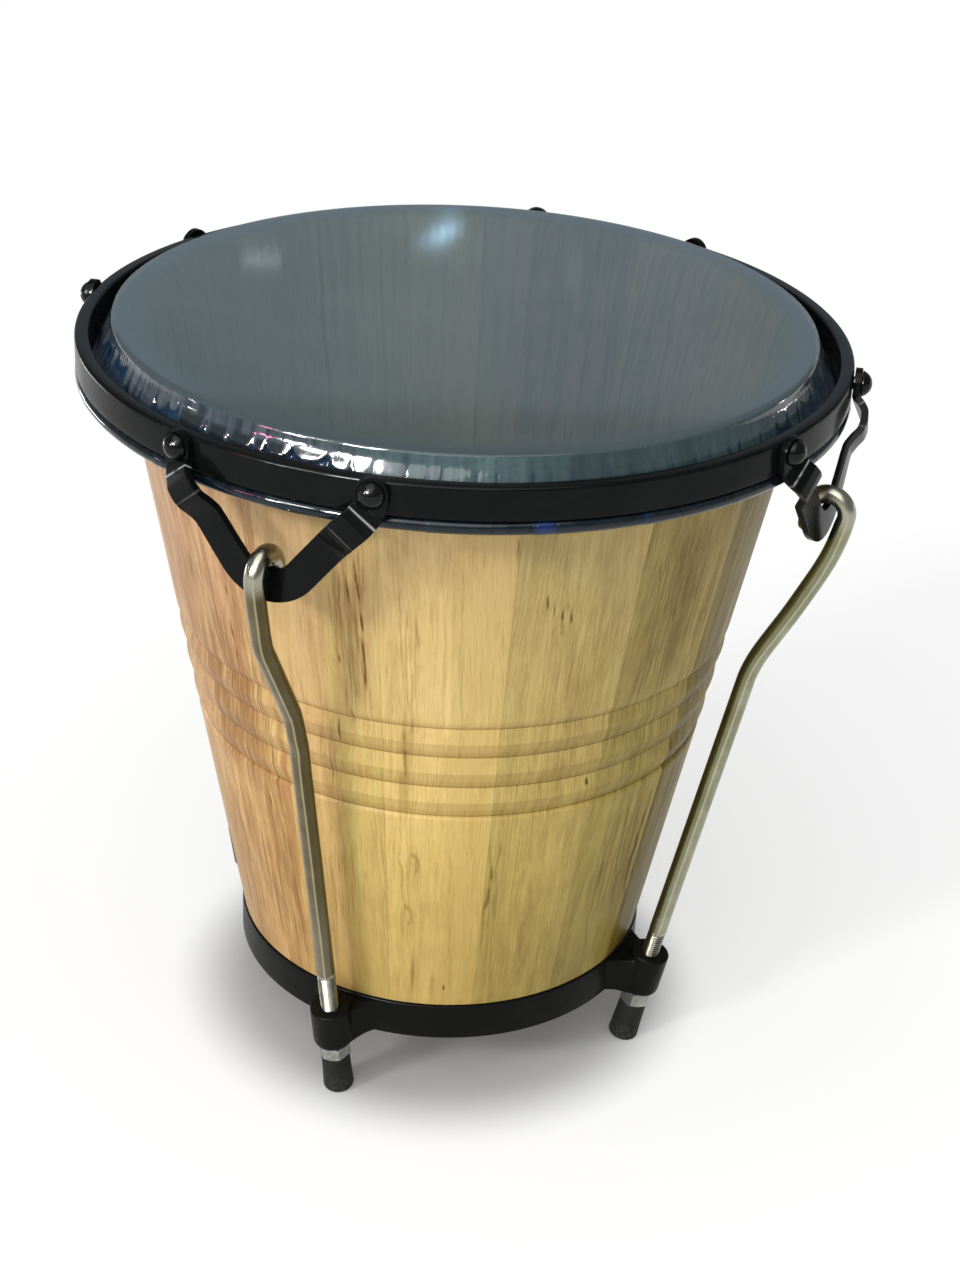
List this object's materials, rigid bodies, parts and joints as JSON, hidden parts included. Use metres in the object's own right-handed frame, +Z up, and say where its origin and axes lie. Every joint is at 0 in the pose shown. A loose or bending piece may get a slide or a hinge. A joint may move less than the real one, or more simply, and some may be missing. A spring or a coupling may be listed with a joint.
{
  "type": "hand drum",
  "caption": "Tapered wooden hand drum with a stretched film head, steel counter hoop, strap brackets and cranked hook rods whose rubber-capped ends are its feet.",
  "frame": {"origin": "on the floor, on the drum's axis, centre of the bottom of its bounding box", "axes": "+Z up along the drum's axis; the four tension rods lie on +X, +Y, -X and -Y"},
  "size_m": [0.3594, 0.3594, 0.3436],
  "materials": {
    "wood_pale": "pale yellow-tan hardwood, satin varnish, vertical grain",
    "wood_tan": "pinkish-tan staves of the same wood, satin varnish",
    "film": "translucent blue-grey polyester film",
    "black_coated_steel": "black satin coating",
    "hoop_steel": "plain drawn steel, hidden in the film",
    "plated_steel": "nickel-chrome plating, slightly dulled",
    "zinc_steel": "bright zinc plating",
    "rubber_cap": "matt black rubber"
  },
  "bodies": {
    "shell": {"stave_01": "wood_pale", "stave_02": "wood_tan", "stave_03": "wood_tan", "stave_04": "wood_pale", "stave_05": "wood_pale", "stave_06": "wood_pale", "stave_07": "wood_pale", "stave_08": "wood_pale", "stave_09": "wood_pale", "stave_10": "wood_tan", "stave_11": "wood_tan", "stave_12": "wood_pale", "stave_13": "wood_pale", "stave_14": "wood_pale", "stave_15": "wood_tan", "stave_16": "wood_pale", "bottom_ring": "black_coated_steel", "lug_px": "black_coated_steel", "lug_py": "black_coated_steel", "lug_nx": "black_coated_steel", "lug_ny": "black_coated_steel", "head_film": "film"},
    "rim_assembly": {"rim": "black_coated_steel", "flesh_hoop": "hoop_steel", "strap_px": "black_coated_steel", "strap_py": "black_coated_steel", "strap_nx": "black_coated_steel", "strap_ny": "black_coated_steel", "rivet_px_a": "black_coated_steel", "rivet_px_b": "black_coated_steel", "rivet_py_a": "black_coated_steel", "rivet_py_b": "black_coated_steel", "rivet_nx_a": "black_coated_steel", "rivet_nx_b": "black_coated_steel", "rivet_ny_a": "black_coated_steel", "rivet_ny_b": "black_coated_steel"},
    "hook_rod_px": {"rod_px": "plated_steel", "cap_px": "rubber_cap"},
    "tension_nut_px": {"nut_px": "zinc_steel"},
    "hook_rod_py": {"rod_py": "plated_steel", "cap_py": "rubber_cap"},
    "tension_nut_py": {"nut_py": "zinc_steel"},
    "hook_rod_nx": {"rod_nx": "plated_steel", "cap_nx": "rubber_cap"},
    "tension_nut_nx": {"nut_nx": "zinc_steel"},
    "hook_rod_ny": {"rod_ny": "plated_steel", "cap_ny": "rubber_cap"},
    "tension_nut_ny": {"nut_ny": "zinc_steel"}
  },
  "joints": [
    {"name": "rim_tension", "type": "slide", "parent": "shell", "child": "rim_assembly", "axis": [0, 0, 1], "range_m": [-0.004, 0], "deforming": ["head_film"]},
    {"name": "rod_draw_px", "type": "slide", "parent": "shell", "child": "hook_rod_px", "axis": [0.1975, 0, 0.9803], "range_m": [-0.0041, 0]},
    {"name": "nut_turn_px", "type": "hinge", "parent": "shell", "child": "tension_nut_px", "pos_m": [0.1065, 0, 0.0346], "axis": [0.1975, 0, 0.9803], "range_deg": [0, 1180]},
    {"name": "rod_draw_py", "type": "slide", "parent": "shell", "child": "hook_rod_py", "axis": [0, 0.1975, 0.9803], "range_m": [-0.0041, 0]},
    {"name": "nut_turn_py", "type": "hinge", "parent": "shell", "child": "tension_nut_py", "pos_m": [0, 0.1065, 0.0346], "axis": [0, 0.1975, 0.9803], "range_deg": [0, 1180]},
    {"name": "rod_draw_nx", "type": "slide", "parent": "shell", "child": "hook_rod_nx", "axis": [-0.1975, 0, 0.9803], "range_m": [-0.0041, 0]},
    {"name": "nut_turn_nx", "type": "hinge", "parent": "shell", "child": "tension_nut_nx", "pos_m": [-0.1065, 0, 0.0346], "axis": [-0.1975, 0, 0.9803], "range_deg": [0, 1180]},
    {"name": "rod_draw_ny", "type": "slide", "parent": "shell", "child": "hook_rod_ny", "axis": [0, -0.1975, 0.9803], "range_m": [-0.0041, 0]},
    {"name": "nut_turn_ny", "type": "hinge", "parent": "shell", "child": "tension_nut_ny", "pos_m": [0, -0.1065, 0.0346], "axis": [0, -0.1975, 0.9803], "range_deg": [0, 1180]}
  ],
  "couplings": [
    {"joint": "rod_draw_px", "follows": "rim_tension", "ratio": 1.0201},
    {"joint": "nut_turn_px", "follows": "rim_tension", "rad_per_m": -5127.6},
    {"joint": "rod_draw_py", "follows": "rim_tension", "ratio": 1.0201},
    {"joint": "nut_turn_py", "follows": "rim_tension", "rad_per_m": -5127.6},
    {"joint": "rod_draw_nx", "follows": "rim_tension", "ratio": 1.0201},
    {"joint": "nut_turn_nx", "follows": "rim_tension", "rad_per_m": -5127.6},
    {"joint": "rod_draw_ny", "follows": "rim_tension", "ratio": 1.0201},
    {"joint": "nut_turn_ny", "follows": "rim_tension", "rad_per_m": -5127.6}
  ]
}
